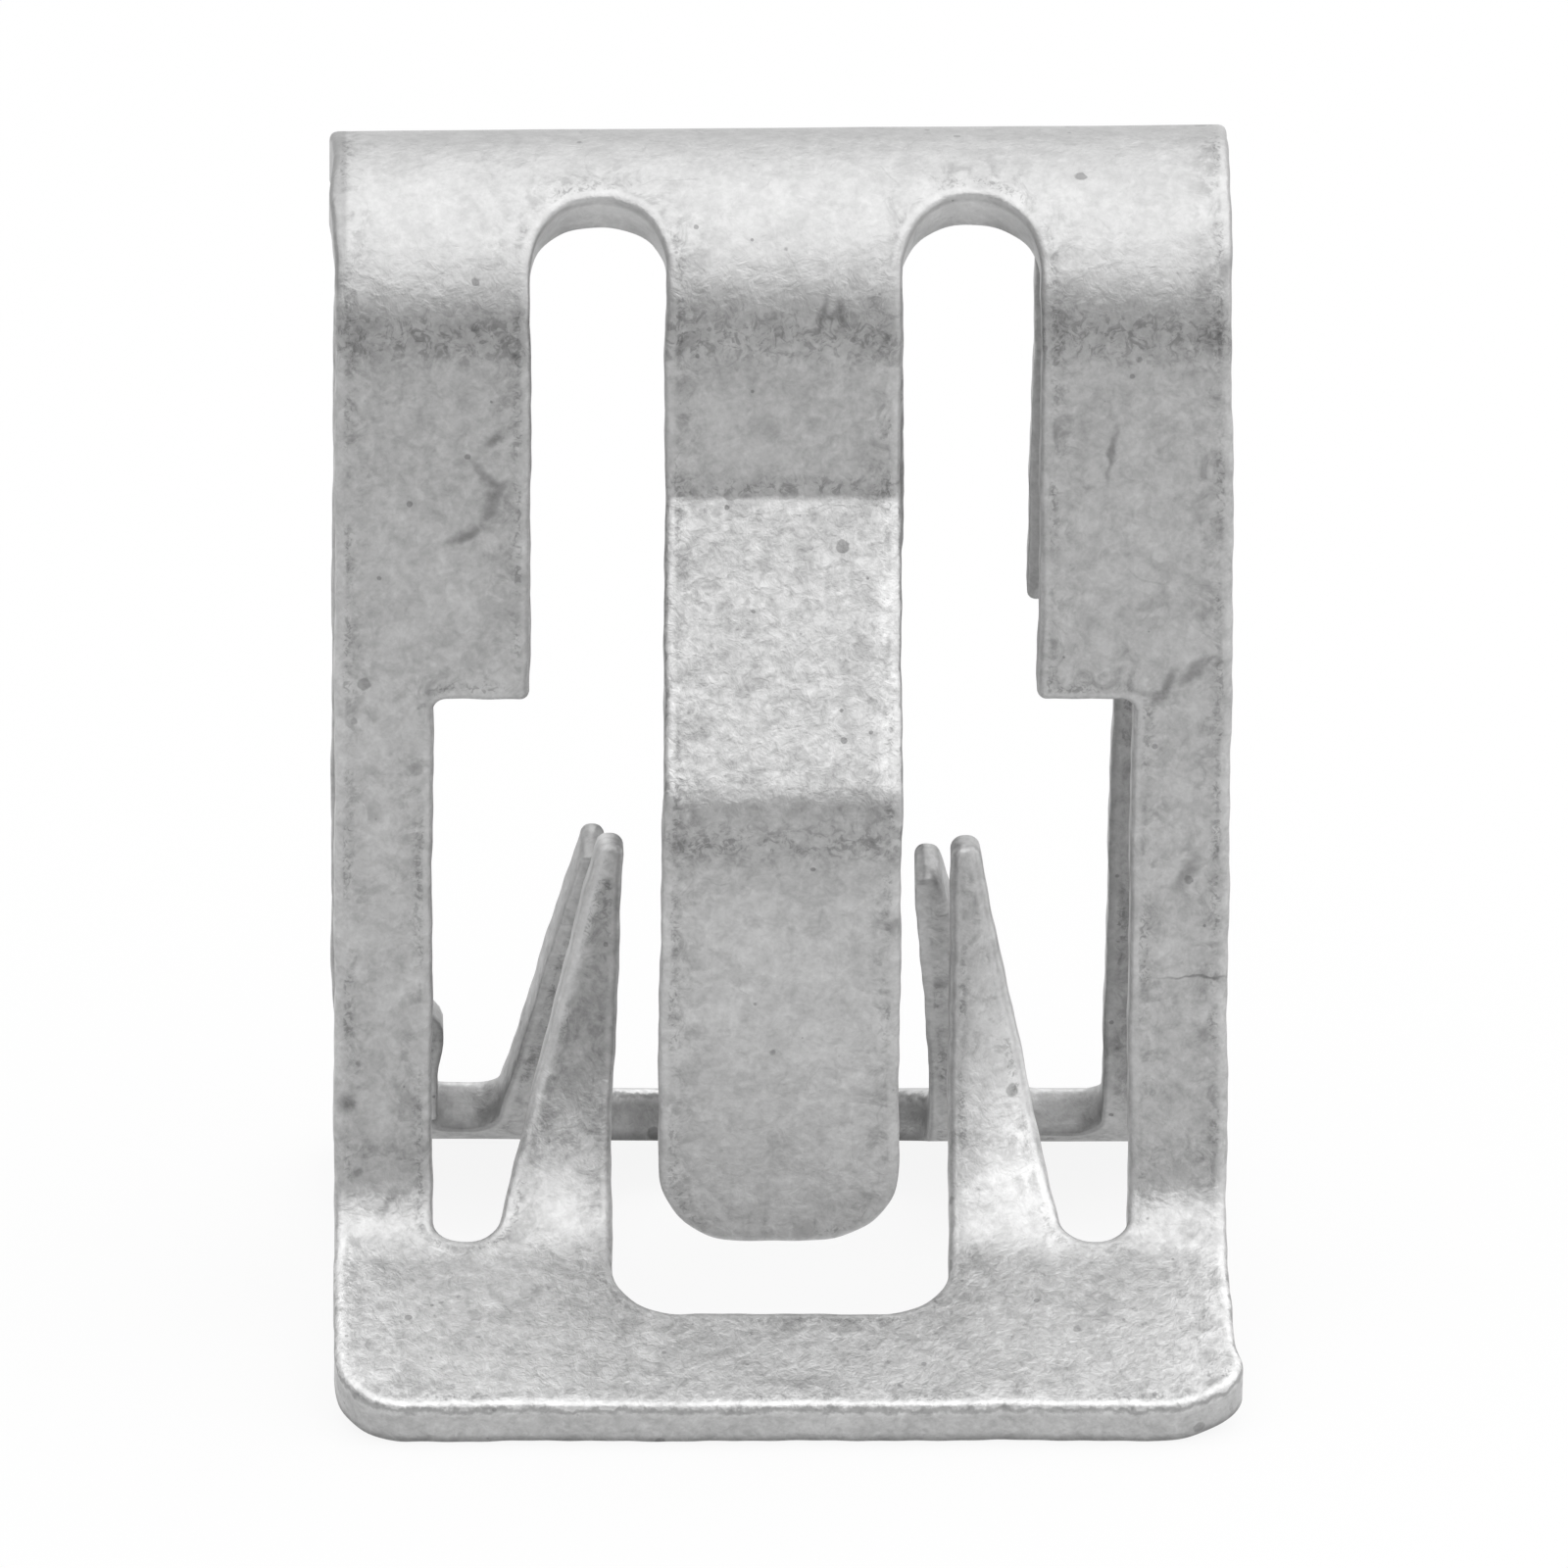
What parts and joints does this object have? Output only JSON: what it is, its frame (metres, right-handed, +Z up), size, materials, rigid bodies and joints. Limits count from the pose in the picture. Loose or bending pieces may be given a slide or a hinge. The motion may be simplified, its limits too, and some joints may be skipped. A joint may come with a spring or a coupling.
{
  "type": "retaining clip",
  "caption": "Folded spring-steel retaining clip: U-shaped strip with bulged sprung tongues, inner gripping barbs and flared feet, for holding a panel or trim rib.",
  "frame": {"origin": "on the floor under the middle of the clip, midway between the two legs", "axes": "+Z up from the feet to the rounded nose; X across the strip; the front leg faces -Y"},
  "size_m": [0.012, 0.0108, 0.0167],
  "materials": {
    "coated_steel": "mottled dull zinc coating"
  },
  "bodies": {
    "root": {"retaining_clip": "coated_steel"}
  },
  "joints": []
}
